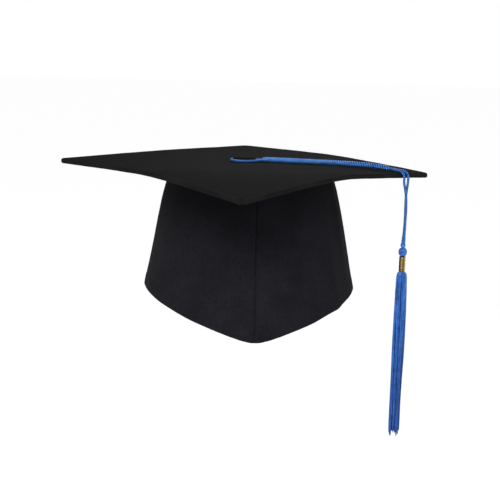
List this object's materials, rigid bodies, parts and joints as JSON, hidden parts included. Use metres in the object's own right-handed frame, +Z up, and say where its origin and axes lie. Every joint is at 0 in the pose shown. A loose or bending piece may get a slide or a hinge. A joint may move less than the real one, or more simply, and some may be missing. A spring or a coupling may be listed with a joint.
{
  "type": "graduation cap",
  "caption": "Square cloth-covered mortarboard on a soft pointed skullcap, with a covered button and a cord tassel that hangs over the edge.",
  "frame": {"origin": "middle of the head opening, level with the rim over the wearer's ears", "axes": "+Z up towards the button, -Y towards the pointed front over the forehead, +X towards the corner that the tassel hangs at"},
  "size_m": [0.342, 0.342, 0.2498],
  "materials": {
    "board_cloth": "matte black woven cloth with a fine nap",
    "cap_cloth": "matte charcoal black woven cloth",
    "interlining": "stiff bonded non-woven",
    "lining_cloth": "smooth black lining with a slight sheen",
    "headband_cloth": "black ribbed ribbon",
    "elastic_web": "ribbed woven elastic",
    "label_cloth": "blank woven satin tag",
    "card": "grey-brown pressed card",
    "steel": "plain pressed sheet",
    "brass": "bright rolled sheet",
    "cord": "royal blue rayon cord, three plies, soft sheen",
    "thread": "royal blue rayon thread with a bright sheen"
  },
  "bodies": {
    "cap": {"cap_panel_left": "cap_cloth", "cap_panel_right": "cap_cloth", "interlining_left": "interlining", "interlining_right": "interlining", "lining_left": "lining_cloth", "lining_right": "lining_cloth", "crown_panel": "cap_cloth", "crown_stiffener": "card", "crown_lining": "lining_cloth", "headband": "headband_cloth", "elastic_band": "elastic_web", "elastic_casing": "lining_cloth", "size_label": "label_cloth", "board_underside": "board_cloth", "board_core": "card", "board_cover": "board_cloth", "button_cover": "board_cloth", "button_shell": "steel", "button_back": "steel", "button_post": "steel", "button_washer": "steel"},
    "tassel_run": {"cord_loop": "cord", "cord_twisted": "cord", "cord_fork_front": "cord", "cord_fork_back": "cord"},
    "tassel_drop": {"cord_drop_front": "cord", "cord_drop_back": "cord"},
    "tassel_head": {"cord_collar": "cord", "tassel_knot": "cord", "ferrule": "brass", "thread_neck": "thread"},
    "tassel_fringe": {"fringe": "thread"}
  },
  "joints": [
    {"name": "tassel_turn", "type": "hinge", "parent": "cap", "child": "tassel_run", "pos_m": [-0.0066, 0, 0.1172], "axis": [0, 0, 1], "range_deg": [-64, 0]},
    {"name": "tassel_swing", "type": "hinge", "parent": "tassel_run", "child": "tassel_drop", "pos_m": [0.14097, -0.02991, 0.1048], "axis": [-0.7071, -0.7071, 0], "range_deg": [-6, 70]},
    {"name": "tassel_sway", "type": "hinge", "parent": "tassel_drop", "child": "tassel_head", "pos_m": [0.14097, -0.02991, 0.0484], "axis": [0.7071, -0.7071, 0], "range_deg": [-30, 30]},
    {"name": "fringe_sway", "type": "hinge", "parent": "tassel_head", "child": "tassel_fringe", "pos_m": [0.14097, -0.02991, 0.0212], "axis": [-0.7071, -0.7071, 0], "range_deg": [-5, 30]}
  ]
}
